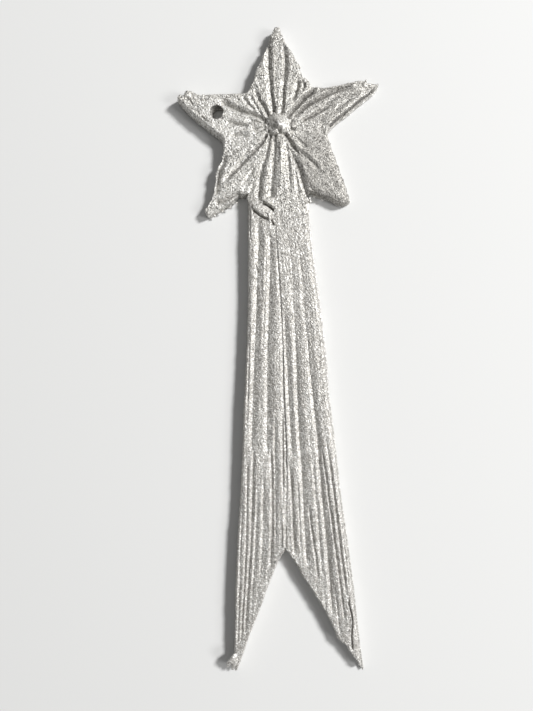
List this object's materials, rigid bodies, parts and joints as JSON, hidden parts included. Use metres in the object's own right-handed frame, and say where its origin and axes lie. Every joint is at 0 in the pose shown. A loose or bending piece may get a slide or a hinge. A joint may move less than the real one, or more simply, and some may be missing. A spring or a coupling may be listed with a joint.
{
  "type": "paper comet ornament",
  "caption": "Flat hanging ornament: a fluted star with a long swallow-tailed streamer, moulded in paper pulp on card and painted silver.",
  "frame": {"origin": "centre of the star on the flat back face", "axes": "+Z out of the front face, +Y towards the star's top ray and away from the tail, +X to the right seen from the front"},
  "size_m": [0.0472, 0.1507, 0.005],
  "materials": {
    "painted_card": "silver paint worn thin on card, satin",
    "star_pulp": "silver metallic paint on coarse paper pulp, speckled, satin",
    "streamer_pulp": "silver metallic paint on fluted paper pulp, speckled, satin"
  },
  "bodies": {
    "root": {"star_backing": "painted_card", "tail_backing": "painted_card", "star_relief": "star_pulp", "neck_fan": "star_pulp", "left_streamer": "streamer_pulp", "right_streamer": "streamer_pulp", "centre_boss": "star_pulp", "lip_curl": "streamer_pulp"}
  },
  "joints": []
}
